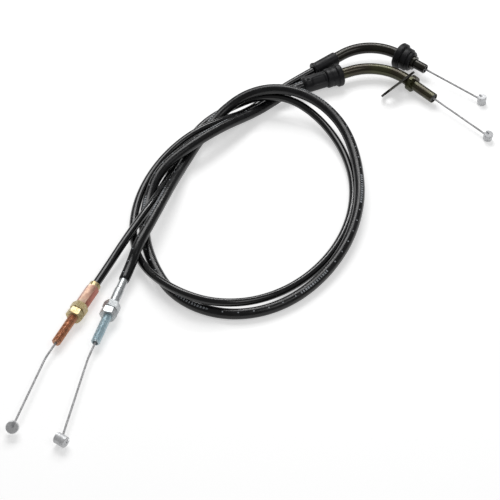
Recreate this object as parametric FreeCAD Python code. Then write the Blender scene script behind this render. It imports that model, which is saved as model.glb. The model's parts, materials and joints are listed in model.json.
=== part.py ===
import FreeCAD, Part
import math
import os

# Throttle cable pair, millimetres, +Z up, resting on the plane z = 0.
# "pull" is the thick cable whose elbow carries the retainer plate, "return" is the slim one.
# Every fitting is placed from the end of its sheath route, along the route's last run.

Vector = FreeCAD.Vector
ORIGIN = Vector(0, 0, 0)
UP = Vector(0, 0, 1)

# ---------------------------------------------------------------- driving dimensions

# sheath routes, from the elbow end to the carburettor end
PULL_ROUTE = [
    (35.3, 148.5, 8.1), (20, 141.7, 7.9), (7.5, 132.5, 5.2), (-6.5, 118.5, 6.2),
    (-29.5, 95.5, 13.6), (-52.5, 74, 14.4), (-73, 53.5, 10.2), (-80.5, 28.5, 4),
    (-82, -0.5, 3.6), (-75, -30.5, 3.6), (-62.5, -56.5, 3.6), (-41, -73, 3.6),
    (-15, -77.5, 3.6), (12.5, -68, 3.6), (37, -45.5, 4.4), (56, -13, 6.4),
    (65.5, 25, 8.2), (64.5, 64, 9.6), (56, 97.5, 12.6), (37.5, 120, 17.4),
    (13, 129.5, 20.4), (-11.5, 127.5, 17), (-31.5, 115, 8.2), (-45.5, 92.5, 3.6),
    (-56.5, 63, 6.2), (-65.5, 33, 12.2), (-75, 3, 14.4), (-84.4, -21.5, 13.2),
    (-88.8, -35.3, 7.9), (-93, -49.2, 7.4),
]
RETURN_ROUTE = [
    (42.6, 168.1, 7.7), (20, 152.9, 4.6), (3, 138.5, 2.8), (-13, 121, 3.6),
    (-30, 104.5, 11), (-51, 89, 12.8), (-71, 68.5, 8), (-85, 41, 3.6),
    (-90, 9, 2.8), (-86.5, -20, 2.8), (-75.5, -45.5, 8.8), (-54, -66.5, 12.4),
    (-30.5, -73, 10.2), (-3.5, -66.5, 6.2), (23, -48, 3.2), (45, -20.5, 2.8),
    (58.5, 13.5, 2.8), (62, 50, 2.8), (55, 83.5, 3.8), (39.5, 110, 8.2),
    (19.5, 125.5, 13.2), (-2.5, 130, 12.2), (-23, 125.5, 5.4), (-41, 113.5, 2.8),
    (-53.5, 92.5, 2.8), (-62.5, 65.5, 3), (-70.5, 37.5, 7.4), (-81, 11, 11.4),
    (-93.5, -14, 9.8), (-104.1, -35.6, 6.5), (-114, -57.5, 6.1),
]
ARC_SHARE = 0.45            # share of the shorter run that an arc's tangent takes
SWEEP_TOLERANCE = 0.001     # share by which a sweep's volume may differ from its section's

# layers of the sheath, from the wire outwards
WIRE_R = 0.75
LINER_R_IN = 1.0
LINER_WALL = 0.5
LAYER_GAP = 0.05            # radial clearance between one layer and the next
CONDUIT_WALL = 0.7
PULL_JACKET_R = 3.6
RETURN_JACKET_R = 2.75
LINER_R = LINER_R_IN + LINER_WALL
CONDUIT_R_IN = LINER_R + LAYER_GAP
CONDUIT_R = CONDUIT_R_IN + CONDUIT_WALL
JACKET_R_IN = CONDUIT_R + LAYER_GAP
FIT_GAP = 0.05              # radial clearance of a piece that slips over another

# stroke of a cable and the stretches of wire that stay hidden at rest
STROKE = 32.0
CARB_HIDDEN = 42.0
GRIP_HIDDEN = 2.5
WIRE_END_GAP = 0.6          # between the moving wire's end and the inner wire
INNER_WIRE_BACK = 39.0      # inner wire's end, measured back from the elbow's mouth

# elbows
ELBOW_R = 4.0
ELBOW_BORE_R = 3.0
ELBOW_BEND_R = 36.0
ELBOW_SEAT = 3.0            # solid seat that the sheath's end butts against
SEAT_BORE_R = 1.1
PULL_ELBOW_LEG = 54.8       # sheath end to the corner of the bend
PULL_NOSE_END = (121.3, 133.7, 6.2)
RETURN_ELBOW_LEG = 42.9
RETURN_NOSE_END = (117.1, 163.4, 8.0)

# pull cable, grip end
GUIDE_BORE_R = 1.3
GUIDE_LENGTH = 6.0
GUIDE_RECESS = 0.5          # elbow mouth to the guide's face
GRIP_OVERLAP = 8.0          # length of sheath inside the sleeve or boot
SLEEVE_R = 6.0
SLEEVE_LENGTH = 18.0
SLEEVE_LIP = 1.2            # chamfer round the sleeve's mouth
SLEEVE_ROLL = 35.0
DIMPLE_R = 1.5
DIMPLE_DEPTH = 0.8
DIMPLE_FROM_MOUTH = 3.6
DIMPLE_PITCH = 4.4
SEAT_RUBBER_R = 7.0
SEAT_RUBBER_BODY = 8.0
SEAT_FLANGE_R = 8.3
SEAT_FLANGE = 4.0
SEAT_EDGE = 0.8
PULL_COLLAR_R = 6.0
PULL_COLLAR_LENGTH = 3.5
PULL_COLLAR_BACK = 19.3     # elbow mouth to the collar's front face
PULL_NOSE_R = 3.75          # elbow turned down in front of the collar
TAB_WIDTH = 2.6
TAB_REACH = 7.8
TAB_LENGTH = 2.0
TAB_ROLL = 20.0
PLATE_THICKNESS = 1.6
PLATE_BIG_R = 8.0
PLATE_HOLE_R = 5.6
PLATE_TAB_R = 6.0
PLATE_REACH = 18.0          # elbow hole to screw hole
PLATE_SCREW_R = 3.25
PLATE_LEAN = 31.0
PLATE_SWIVEL = 4.5          # tab turned down from level, almost to the ground
PLATE_GAP = 0.37            # between the leaning plate and the collar's rim

# return cable, grip end
BOOT_R = 4.9
BOOT_LENGTH = 20.0
BOOT_LIP_R = 5.4
BOOT_LIP = 2.0
NOSE_R = 3.5
NOSE_LENGTH = 9.5
NOSE_MOUTH_R = 2.3
NOSE_MOUTH = 3.0
NOSE_BORE_R = 1.6
NOSE_SPIGOT = 5.0
NOSE_CHAMFER = 0.4
RETURN_COLLAR_R = 5.2
RETURN_COLLAR_LENGTH = 2.0
GROMMET_NECK_R = 7.4
GROMMET_NECK = 3.0
GROMMET_BODY_R = 8.4
GROMMET_BODY = 4.5
GROMMET_FLANGE_R = 9.75
GROMMET_FLANGE = 5.0
GROMMET_EDGE = 0.9

# carburettor end: M6 adjusters and locknuts
THREAD_R = 3.0
THREAD_CHAMFER = 0.5
ADJUSTER_BORE_R = 1.25
MOUTH_DEPTH = 6.0
PULL_MOUTH_R = 1.9
RETURN_MOUTH_R = 1.5
PULL_ADJUSTER_END = 56.5    # sheath end to the threaded tip
RETURN_ADJUSTER_END = 50.1
FERRULE_CRIMP_R = 2.75
FERRULE_CRIMP = 9.0
FERRULE_GROOVE = 0.25
FERRULE_STEP = 0.4
FERRULE_R = 3.1
FERRULE_LENGTH = 21.0
CONDUIT_INSERT = 8.0        # bare conduit inside the pull ferrule
SPIGOT_R = 2.2
RING_R = 3.9
RING_LENGTH = 3.5
RING_EDGE = 0.4
RING_OVERLAP = 6.0          # sheath inside the ring and the hex body
HEX_BODY_AF = 8.0
HEX_BODY_LENGTH = 17.0
NUT_AF = 10.0
NUT_HEIGHT = 5.2
NUT_GAP = 0.6
NUT_CHAMFER = 0.5
PULL_NUT_START = 22.0       # sheath end to the upper nut
RETURN_NUT_START = 14.9
PULL_NUT_ROLL = -15.0
RETURN_NUT_ROLL = -20.0
HEX_BODY_ROLL = -10.0
SECOND_NUT_ROLL = 12.0      # the lower nut, past the upper one

# exposed wires and their nipples
WIRE_KNEE = 14.0            # adjuster tip to the knee of the wire's set
WIRE_SET_R = 150.0
WIRE_PAST_CENTRE = 1.0
PULL_CARB_NIPPLE = (-126.3, -183.9, 4.9)
RETURN_CARB_NIPPLE = (-157.1, -174.2, 5.6)
PULL_GRIP_WIRE = 52.2       # elbow mouth to the nipple's centre
RETURN_GRIP_WIRE = 48.4
SLOT_WIDTH = 1.8
SLOT_DEPTH = 1.5
# radius, length and barrel axis of each nipple
PULL_CARB_BARREL = (3.7, 7.6, (0.81, -0.59, 0.0))
RETURN_CARB_BARREL = (4.0, 6.0, (0.0, -0.707, 0.707))
PULL_GRIP_BARREL = (3.3, 5.5, (0.1, -0.24, 0.966))
RETURN_GRIP_BARREL = (3.25, 6.5, (0.0, 0.0, 1.0))
BARREL_CHAMFER = 0.35


# ---------------------------------------------------------------- geometry helpers

def unit(vector):
    """The vector's direction, of length one."""
    return vector * (1.0 / vector.Length)


def along(point, direction, distance):
    """The point that lies a distance along a direction."""
    return point + direction * distance


def placed(origin, axis, roll=0.0):
    """A placement whose +Z runs along axis and whose +Y leans up, then rolled in degrees."""
    steady = UP if abs(axis.z) < 0.9 else Vector(0, 1, 0)
    side = unit(steady.cross(axis))
    frame = FreeCAD.Rotation(side, axis.cross(side), axis, "ZXY")
    return FreeCAD.Placement(origin, frame.multiply(FreeCAD.Rotation(Vector(0, 0, 1), roll)))


def at(shape, origin, axis, roll=0.0):
    """The shape moved into the frame that placed() gives."""
    shape.Placement = placed(origin, axis, roll)
    return shape


def turned(profile):
    """A solid of revolution about Z from (radius, height) corners."""
    corners = [Vector(radius, 0, height) for radius, height in profile]
    face = Part.Face(Part.makePolygon(corners + corners[:1]))
    return face.revolve(ORIGIN, UP, 360)


def sleeve(r_in, r_out, start, end):
    """A plain tube about Z."""
    return turned([(r_in, start), (r_out, start), (r_out, end), (r_in, end)])


def hexagon(across_flats, start, end):
    """A hexagonal bar about Z whose first flat faces +Y."""
    corner_r = across_flats / math.sqrt(3.0)
    angles = [math.radians(60.0 * k) for k in range(6)]
    corners = [Vector(corner_r * math.cos(a), corner_r * math.sin(a), start) for a in angles]
    face = Part.Face(Part.makePolygon(corners + corners[:1]))
    return face.extrude(Vector(0, 0, end - start))


def chamfered_hexagon(across_flats, start, end, chamfer):
    """A hexagonal bar with its corners turned down at both ends."""
    corner_r = across_flats / math.sqrt(3.0)
    flat_r = across_flats / 2.0
    envelope = turned([(0, start), (flat_r, start), (corner_r, start + chamfer),
                       (corner_r, end - chamfer), (flat_r, end), (0, end)])
    return hexagon(across_flats, start, end).common(envelope)


def corner_arc(before, corner, after, radius):
    """The tangent arc at a corner: its start, middle and end."""
    into = unit(corner - before)
    out = unit(after - corner)
    half = into.getAngle(out) / 2.0
    reach = radius * math.tan(half)
    inward = unit(out - into)
    centre = along(corner, inward, radius / math.cos(half))
    return along(corner, into, -reach), along(centre, inward, -radius), along(corner, out, reach)


def run_radius(before, corner, after):
    """The radius that a corner's two runs leave room for."""
    half = (corner - before).getAngle(after - corner) / 2.0
    shorter = min((corner - before).Length, (after - corner).Length)
    return ARC_SHARE * shorter / math.tan(half)


def rounded(points, radii):
    """Straight runs joined by tangent arcs, as a list of edges."""
    edges = []
    start = points[0]
    for index, radius in enumerate(radii, 1):
        first, middle, last = corner_arc(points[index - 1], points[index], points[index + 1], radius)
        edges.append(Part.LineSegment(start, first).toShape())
        edges.append(Part.Arc(first, middle, last).toShape())
        start = last
    edges.append(Part.LineSegment(start, points[-1]).toShape())
    return edges


def path_length(edges):
    """The length of a list of edges."""
    return sum(edge.Length for edge in edges)


def swept(edges, r_out, r_in=0.0):
    """A round bar, or a tube, along a list of tangent edges."""
    spine = Part.Wire(edges)
    start = edges[0].Vertexes[0].Point
    heading = edges[0].tangentAt(edges[0].FirstParameter)
    section = Part.Face(Part.Wire(Part.makeCircle(r_out, start, heading)))
    if r_in:
        hole = Part.Face(Part.Wire(Part.makeCircle(r_in, start, heading)))
        section = section.cut(hole).Faces[0]
    solid = spine.makePipe(section)
    expected = math.pi * (r_out ** 2 - r_in ** 2) * path_length(edges)
    if abs(solid.Volume / expected - 1.0) > SWEEP_TOLERANCE:
        raise ValueError(f"sweep volume {solid.Volume:.1f}, expected {expected:.1f}")
    return solid


# ---------------------------------------------------------------- one cable's frames

class Cable:
    """The route of one cable and the frames of its two ends."""

    def __init__(self, name, route, jacket_r, leg, nose_end, adjuster_end):
        self.name = name
        self.points = [Vector(*point) for point in route]
        self.jacket_r = jacket_r
        self.radii = [run_radius(*self.points[k:k + 3]) for k in range(len(self.points) - 2)]
        self.route = rounded(self.points, self.radii)
        self.grip_start = self.points[0]
        self.grip_axis = unit(self.points[0] - self.points[1])
        self.carb_start = self.points[-1]
        self.carb_axis = unit(self.points[-1] - self.points[-2])
        self.corner = along(self.grip_start, self.grip_axis, leg)
        self.nose_end = Vector(*nose_end)
        self.nose_axis = unit(self.nose_end - self.corner)
        self.carb_tip = along(self.carb_start, self.carb_axis, adjuster_end)

    def print_radii(self):
        """Report the smallest arc of the route, in diameters."""
        smallest = min(self.radii) / (2.0 * self.jacket_r)
        length = path_length(self.route)
        print(f"{self.name}: sheath {length:.1f} mm, smallest radius {smallest:.1f} diameters")

    def elbow_edges(self, end=0.0):
        """The elbow's centre line, ending a distance short of its mouth."""
        mouth = along(self.nose_end, self.nose_axis, -end)
        return rounded([self.grip_start, self.corner, mouth], [ELBOW_BEND_R])

    def inner_wire_edges(self):
        """The inner wire's centre line, from the elbow's bend to the adjuster's bore."""
        leg, bend, nose = self.elbow_edges()
        left_in_bend = INNER_WIRE_BACK - nose.Length
        cut = bend.getParameterByLength(bend.Length - left_in_bend)
        middle = bend.getParameterByLength((bend.Length - left_in_bend) / 2.0)
        points = [bend.valueAt(bend.FirstParameter), bend.valueAt(middle), bend.valueAt(cut)]
        bend_part = Part.Arc(points[2], points[1], points[0]).toShape()
        leg_back = Part.LineSegment(points[0], self.grip_start).toShape()
        tail_end = along(self.carb_tip, self.carb_axis, -(CARB_HIDDEN + WIRE_END_GAP))
        tail = Part.LineSegment(self.carb_start, tail_end).toShape()
        return [bend_part, leg_back] + self.route + [tail]


PULL = Cable("pull", PULL_ROUTE, PULL_JACKET_R, PULL_ELBOW_LEG, PULL_NOSE_END, PULL_ADJUSTER_END)
RETURN = Cable("return", RETURN_ROUTE, RETURN_JACKET_R, RETURN_ELBOW_LEG, RETURN_NOSE_END,
               RETURN_ADJUSTER_END)


# ---------------------------------------------------------------- pieces of both cables

def jacket(cable):
    """The black outer jacket of the sheath."""
    return swept(cable.route, cable.jacket_r, JACKET_R_IN)


def conduit_edges(cable, insert):
    """The route of the conduit, which may run on past the jacket's end."""
    if not insert:
        return cable.route
    end = along(cable.carb_start, cable.carb_axis, insert)
    return cable.route + [Part.LineSegment(cable.carb_start, end).toShape()]


def conduit(cable, insert):
    """The steel spiral conduit, as a plain tube."""
    return swept(conduit_edges(cable, insert), CONDUIT_R, CONDUIT_R_IN)


def liner(cable, insert):
    """The low-friction liner inside the conduit."""
    return swept(conduit_edges(cable, insert), LINER_R, LINER_R_IN)


def inner_wire(cable):
    """The stretch of wire that stays inside the sheath."""
    return swept(cable.inner_wire_edges(), WIRE_R)


def elbow(cable, end):
    """The bent steel tube, with a seat for the sheath at its start."""
    pipe = swept(cable.elbow_edges(end), ELBOW_R, ELBOW_BORE_R)
    seat = at(sleeve(SEAT_BORE_R, ELBOW_BORE_R, 0, ELBOW_SEAT), cable.grip_start, cable.grip_axis)
    return pipe.fuse(seat).removeSplitter()


def locknut(cable, start, roll):
    """One hexagonal locknut on the adjuster's thread."""
    nut = chamfered_hexagon(NUT_AF, start, start + NUT_HEIGHT, NUT_CHAMFER)
    bore = sleeve(0, THREAD_R + FIT_GAP, start - 1, start + NUT_HEIGHT + 1)
    return at(nut.cut(bore), cable.carb_start, cable.carb_axis, roll)


def bored_shaft(profile_start, end, mouth_r):
    """A shaft from its outline, bored for the wire, with a wider mouth at its tip."""
    outline = profile_start + [
        (THREAD_R, end - THREAD_CHAMFER), (THREAD_R - THREAD_CHAMFER, end),
        (mouth_r, end), (mouth_r, end - MOUTH_DEPTH), (ADJUSTER_BORE_R, end - MOUTH_DEPTH),
    ]
    return turned(outline)


def nipple(centre, wire_axis, barrel):
    """A barrel nipple with a bore for its wire and a slot in one end."""
    radius, length, axis_values = barrel
    axis = unit(Vector(*axis_values))
    half = length / 2.0
    rim = radius - BARREL_CHAMFER
    body = turned([(0, -half), (rim, -half), (radius, BARREL_CHAMFER - half),
                   (radius, half - BARREL_CHAMFER), (rim, half), (0, half)])
    body = at(body, centre, axis)
    hole = Part.makeCylinder(WIRE_R, radius + half + WIRE_PAST_CENTRE,
                             along(centre, wire_axis, -(radius + half)), wire_axis)
    slot = Part.makeBox(radius + half, SLOT_WIDTH, SLOT_DEPTH + 1)
    slot.translate(Vector(0, -SLOT_WIDTH / 2.0, half - SLOT_DEPTH))
    outward = unit(wire_axis * -1 - axis * (wire_axis * -1).dot(axis))
    frame = FreeCAD.Rotation(outward, axis.cross(outward), axis, "ZXY")
    slot.Placement = FreeCAD.Placement(centre, frame).multiply(slot.Placement)
    return body.cut(hole).cut(slot)


def carb_wire(cable, nipple_centre):
    """The wire that slides in the adjuster, with its slight set, and its end's heading."""
    start = along(cable.carb_tip, cable.carb_axis, -CARB_HIDDEN)
    knee = along(cable.carb_tip, cable.carb_axis, WIRE_KNEE)
    heading = unit(nipple_centre - knee)
    end = along(nipple_centre, heading, WIRE_PAST_CENTRE)
    return swept(rounded([start, knee, end], [WIRE_SET_R]), WIRE_R), heading


def grip_wire(cable, exposed):
    """The straight wire that slides in the elbow's nose."""
    start = along(cable.nose_end, cable.nose_axis, -GRIP_HIDDEN)
    length = GRIP_HIDDEN + exposed + WIRE_PAST_CENTRE
    return Part.makeCylinder(WIRE_R, length, start, cable.nose_axis)


# ---------------------------------------------------------------- pull cable, grip end

def pull_dust_sleeve():
    """The ribbed sleeve over the sheath's end, with two rows of dimples."""
    mouth = -GRIP_OVERLAP
    end = mouth + SLEEVE_LENGTH
    body = turned([
        (PULL_JACKET_R + FIT_GAP, mouth), (SLEEVE_R - SLEEVE_LIP, mouth),
        (SLEEVE_R, mouth + SLEEVE_LIP),
        (SLEEVE_R, end), (ELBOW_R + FIT_GAP, end), (ELBOW_R + FIT_GAP, 0),
        (PULL_JACKET_R + FIT_GAP, 0),
    ])
    for side in (-1, 1):
        for index in range(2):
            height = mouth + DIMPLE_FROM_MOUTH + index * DIMPLE_PITCH
            centre = Vector(side * (SLEEVE_R + DIMPLE_R - DIMPLE_DEPTH), 0, height)
            body = body.cut(Part.makeSphere(DIMPLE_R, centre))
    return at(body, PULL.grip_start, PULL.grip_axis, SLEEVE_ROLL)


def pull_seat_rubber():
    """The rubber seat with its flange, pushed over the elbow."""
    start = SLEEVE_LENGTH - GRIP_OVERLAP
    body_end = start + SEAT_RUBBER_BODY
    end = body_end + SEAT_FLANGE
    edge = SEAT_EDGE
    bore = ELBOW_R + FIT_GAP
    body = turned([
        (bore, start), (SEAT_RUBBER_R - edge, start), (SEAT_RUBBER_R, start + edge),
        (SEAT_RUBBER_R, body_end), (SEAT_FLANGE_R, body_end + edge / 2),
        (SEAT_FLANGE_R, end - edge), (SEAT_FLANGE_R - edge, end), (bore, end),
    ])
    return at(body, PULL.grip_start, PULL.grip_axis)


def pull_elbow():
    """The pull cable's elbow, turned down in front of its collar."""
    skin = sleeve(PULL_NOSE_R, ELBOW_R + 1, -PULL_COLLAR_BACK, 1)
    return elbow(PULL, 0.0).cut(at(skin, PULL.nose_end, PULL.nose_axis))


def pull_wire_guide():
    """The plastic bush that guides the wire in the elbow's mouth."""
    front = -GUIDE_RECESS
    body = sleeve(GUIDE_BORE_R, ELBOW_BORE_R - FIT_GAP, front - GUIDE_LENGTH, front)
    return at(body, PULL.nose_end, PULL.nose_axis)


def pull_collar():
    """The collar brazed on the elbow, with its small locating tab."""
    rear = -(PULL_COLLAR_BACK + PULL_COLLAR_LENGTH)
    front = -PULL_COLLAR_BACK
    ring = sleeve(ELBOW_R + FIT_GAP, PULL_COLLAR_R, rear, front)
    tab = Part.makeBox(TAB_WIDTH, TAB_REACH - ELBOW_R - 1, TAB_LENGTH)
    tab.translate(Vector(-TAB_WIDTH / 2.0, ELBOW_R + 1, front - TAB_LENGTH))
    return at(ring.fuse(tab).removeSplitter(), PULL.nose_end, PULL.nose_axis, TAB_ROLL)


def plate_outline():
    """The retainer plate's outline: two round ends and their common tangents."""
    angle = math.acos((PLATE_BIG_R - PLATE_TAB_R) / PLATE_REACH)
    cosine = math.cos(angle)
    sine = math.sin(angle)
    big = [Vector(PLATE_BIG_R * cosine, side * PLATE_BIG_R * sine, 0) for side in (1, -1)]
    small = [Vector(PLATE_REACH + PLATE_TAB_R * cosine, side * PLATE_TAB_R * sine, 0)
             for side in (1, -1)]
    return Part.Wire([
        Part.Arc(big[0], Vector(-PLATE_BIG_R, 0, 0), big[1]).toShape(),
        Part.LineSegment(big[1], small[1]).toShape(),
        Part.Arc(small[1], Vector(PLATE_REACH + PLATE_TAB_R, 0, 0), small[0]).toShape(),
        Part.LineSegment(small[0], big[0]).toShape(),
    ])


def plate_frame():
    """The leaning plate's placement: local X along its tab, local Z along its normal."""
    angle = math.radians(PLATE_LEAN)
    rim_reach = PULL_COLLAR_R * math.tan(angle) + PLATE_THICKNESS / 2.0 / math.cos(angle)
    back = PULL_COLLAR_BACK + PULL_COLLAR_LENGTH + rim_reach + PLATE_GAP
    centre = along(PULL.nose_end, PULL.nose_axis, -back)
    tab_axis = unit(PULL.nose_axis.cross(UP))
    frame = FreeCAD.Rotation(tab_axis, PULL.nose_axis.cross(tab_axis), PULL.nose_axis, "ZXY")
    swivel = FreeCAD.Rotation(Vector(0, 0, 1), PLATE_SWIVEL)
    lean = FreeCAD.Rotation(Vector(1, 0, 0), -PLATE_LEAN)
    return FreeCAD.Placement(centre, frame.multiply(swivel).multiply(lean))


def pull_retainer_plate():
    """The loose retainer plate with its screw hole."""
    lift = Vector(0, 0, -PLATE_THICKNESS / 2.0)
    thickness = Vector(0, 0, PLATE_THICKNESS)
    plate = Part.Face(plate_outline()).extrude(thickness)
    for radius, place in ((PLATE_HOLE_R, 0.0), (PLATE_SCREW_R, PLATE_REACH)):
        plate = plate.cut(Part.makeCylinder(radius, PLATE_THICKNESS, Vector(place, 0, 0)))
    plate.translate(lift)
    plate.Placement = plate_frame().multiply(plate.Placement)
    return plate


# ---------------------------------------------------------------- return cable, grip end

def return_boot():
    """The tight rubber boot over the sheath's end and the elbow's start."""
    mouth = -GRIP_OVERLAP
    end = mouth + BOOT_LENGTH
    body = turned([
        (RETURN_JACKET_R + FIT_GAP, mouth), (BOOT_LIP_R, mouth), (BOOT_LIP_R, mouth + BOOT_LIP),
        (BOOT_R, mouth + BOOT_LIP), (BOOT_R, end), (ELBOW_R + FIT_GAP, end),
        (ELBOW_R + FIT_GAP, 0), (RETURN_JACKET_R + FIT_GAP, 0),
    ])
    return at(body, RETURN.grip_start, RETURN.grip_axis)


def return_nose_bush():
    """The slimmer open-ended bush in the elbow's mouth."""
    spigot_r = ELBOW_BORE_R - FIT_GAP
    end = -(NOSE_LENGTH + NOSE_SPIGOT)
    body = turned([
        (NOSE_MOUTH_R, 0), (NOSE_R - NOSE_CHAMFER, 0), (NOSE_R, -NOSE_CHAMFER),
        (NOSE_R, -NOSE_LENGTH), (spigot_r, -NOSE_LENGTH), (spigot_r, end), (NOSE_BORE_R, end),
        (NOSE_BORE_R, -NOSE_MOUTH), (NOSE_MOUTH_R, -NOSE_MOUTH),
    ])
    return at(body, RETURN.nose_end, RETURN.nose_axis)


def return_collar():
    """The steel ring that stops the grommet at the elbow's mouth."""
    rear = -(NOSE_LENGTH + RETURN_COLLAR_LENGTH)
    body = sleeve(ELBOW_R + FIT_GAP, RETURN_COLLAR_R, rear, -NOSE_LENGTH)
    return at(body, RETURN.nose_end, RETURN.nose_axis)


def return_grommet():
    """The stepped rubber grommet with its wide flange."""
    neck_front = -(NOSE_LENGTH + RETURN_COLLAR_LENGTH)
    body_front = neck_front - GROMMET_NECK
    flange_front = body_front - GROMMET_BODY
    rear = flange_front - GROMMET_FLANGE
    edge = GROMMET_EDGE
    bore = ELBOW_R + FIT_GAP
    body = turned([
        (bore, neck_front), (GROMMET_NECK_R - edge, neck_front), (GROMMET_NECK_R, neck_front - edge),
        (GROMMET_NECK_R, body_front), (GROMMET_BODY_R, body_front), (GROMMET_BODY_R, flange_front),
        (GROMMET_FLANGE_R - edge, flange_front), (GROMMET_FLANGE_R, flange_front - edge),
        (GROMMET_FLANGE_R, rear + edge), (GROMMET_FLANGE_R - edge, rear), (bore, rear),
    ])
    return at(body, RETURN.nose_end, RETURN.nose_axis)


# ---------------------------------------------------------------- carburettor ends

def pull_ferrule():
    """The silver ferrule, crimped on the bare conduit."""
    groove = FERRULE_CRIMP_R - FERRULE_GROOVE
    step = FERRULE_STEP
    body = turned([
        (CONDUIT_R + FIT_GAP, 0), (FERRULE_CRIMP_R, 0),
        (FERRULE_CRIMP_R, FERRULE_CRIMP - 2 * step), (groove, FERRULE_CRIMP - step),
        (FERRULE_R, FERRULE_CRIMP), (FERRULE_R, FERRULE_LENGTH), (SPIGOT_R, FERRULE_LENGTH),
        (SPIGOT_R, CONDUIT_INSERT), (CONDUIT_R + FIT_GAP, CONDUIT_INSERT),
    ])
    return at(body, PULL.carb_start, PULL.carb_axis)


def pull_adjuster():
    """The threaded tube with a spigot in the ferrule; the thread is its plain major diameter."""
    start = [(ADJUSTER_BORE_R, CONDUIT_INSERT), (SPIGOT_R, CONDUIT_INSERT),
             (SPIGOT_R, FERRULE_LENGTH), (THREAD_R, FERRULE_LENGTH)]
    body = bored_shaft(start, PULL_ADJUSTER_END, PULL_MOUTH_R)
    return at(body, PULL.carb_start, PULL.carb_axis)


def return_crimp_ring():
    """The yellow ring crimped round the sheath's end."""
    mouth = -RING_OVERLAP
    edge = RING_EDGE
    body = turned([
        (RETURN_JACKET_R + FIT_GAP, mouth), (RING_R - edge, mouth), (RING_R, mouth + edge),
        (RING_R, mouth + RING_LENGTH), (RETURN_JACKET_R + FIT_GAP, mouth + RING_LENGTH),
    ])
    return at(body, RETURN.carb_start, RETURN.carb_axis)


def return_adjuster():
    """The long hex body and its threaded shank, turned from one bar."""
    hex_start = RING_LENGTH - RING_OVERLAP
    hex_end = hex_start + HEX_BODY_LENGTH
    body = chamfered_hexagon(HEX_BODY_AF, hex_start, hex_end, NUT_CHAMFER)
    body = body.cut(sleeve(0, RETURN_JACKET_R + FIT_GAP, hex_start - 1, 0))
    body = body.cut(sleeve(0, ADJUSTER_BORE_R, -1, hex_end + 1))
    shank = bored_shaft([(ADJUSTER_BORE_R, hex_end), (THREAD_R, hex_end)],
                        RETURN_ADJUSTER_END, RETURN_MOUTH_R)
    return at(body.fuse(shank).removeSplitter(), RETURN.carb_start, RETURN.carb_axis, HEX_BODY_ROLL)


# ---------------------------------------------------------------- assembly

def cable_layers(cable, insert):
    """The sheath's layers and the inner wire, by node name."""
    return {
        f"{cable.name}_jacket": jacket(cable),
        f"{cable.name}_conduit": conduit(cable, insert),
        f"{cable.name}_liner": liner(cable, insert),
        f"{cable.name}_inner_wire": inner_wire(cable),
    }


def cable_ends(cable, nut_start, nut_roll, carb_centre, grip_exposed, carb_barrel, grip_barrel):
    """The locknuts, wires and nipples of one cable, by node name."""
    wire, heading = carb_wire(cable, Vector(*carb_centre))
    grip_centre = along(cable.nose_end, cable.nose_axis, grip_exposed)
    second_nut = nut_start + NUT_HEIGHT + NUT_GAP
    return {
        f"{cable.name}_upper_locknut": locknut(cable, nut_start, nut_roll),
        f"{cable.name}_lower_locknut": locknut(cable, second_nut,
                                                  nut_roll + SECOND_NUT_ROLL),
        f"{cable.name}_carb_wire": wire,
        f"{cable.name}_carb_nipple": nipple(Vector(*carb_centre), heading, carb_barrel),
        f"{cable.name}_grip_wire": grip_wire(cable, grip_exposed),
        f"{cable.name}_grip_nipple": nipple(grip_centre, cable.nose_axis, grip_barrel),
    }


def build():
    """Every node of the part, by name."""
    nodes = {}
    nodes.update(cable_layers(PULL, CONDUIT_INSERT))
    nodes.update(cable_layers(RETURN, 0.0))
    nodes.update(cable_ends(PULL, PULL_NUT_START, PULL_NUT_ROLL, PULL_CARB_NIPPLE,
                            PULL_GRIP_WIRE, PULL_CARB_BARREL, PULL_GRIP_BARREL))
    nodes.update(cable_ends(RETURN, RETURN_NUT_START, RETURN_NUT_ROLL, RETURN_CARB_NIPPLE,
                            RETURN_GRIP_WIRE, RETURN_CARB_BARREL, RETURN_GRIP_BARREL))
    nodes["pull_elbow"] = pull_elbow()
    nodes["return_elbow"] = elbow(RETURN, NOSE_LENGTH)
    makers = (
        pull_dust_sleeve, pull_seat_rubber, pull_wire_guide, pull_collar, pull_retainer_plate,
        pull_ferrule, pull_adjuster, return_boot, return_nose_bush, return_collar, return_grommet,
        return_crimp_ring, return_adjuster,
    )
    for maker in makers:
        nodes[maker.__name__] = maker()
    return nodes


def main():
    """Build every node and write one STEP file for each."""
    os.makedirs("parts", exist_ok=True)
    for cable in (PULL, RETURN):
        cable.print_radii()
    for name, shape in build().items():
        shape.exportStep(f"parts/{name}.step")
        print(f"{name}: {shape.Volume:.1f} mm3, valid {shape.isValid()}, solids {len(shape.Solids)}")


main()
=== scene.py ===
"""Throttle cable pair: the visible sheaths, rubbers, threads and wires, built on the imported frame.

Lengths are in metres, and in millimetres where a profile or a station is given. A station is a
distance along the axis of a Station frame, counted from its origin: the sheath's end, or the
elbow's mouth.
"""
import logging
import math
from contextlib import contextmanager
from dataclasses import dataclass
from enum import Enum
from typing import Callable, Dict, Iterator, List, Optional, Sequence, Tuple, Union

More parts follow.
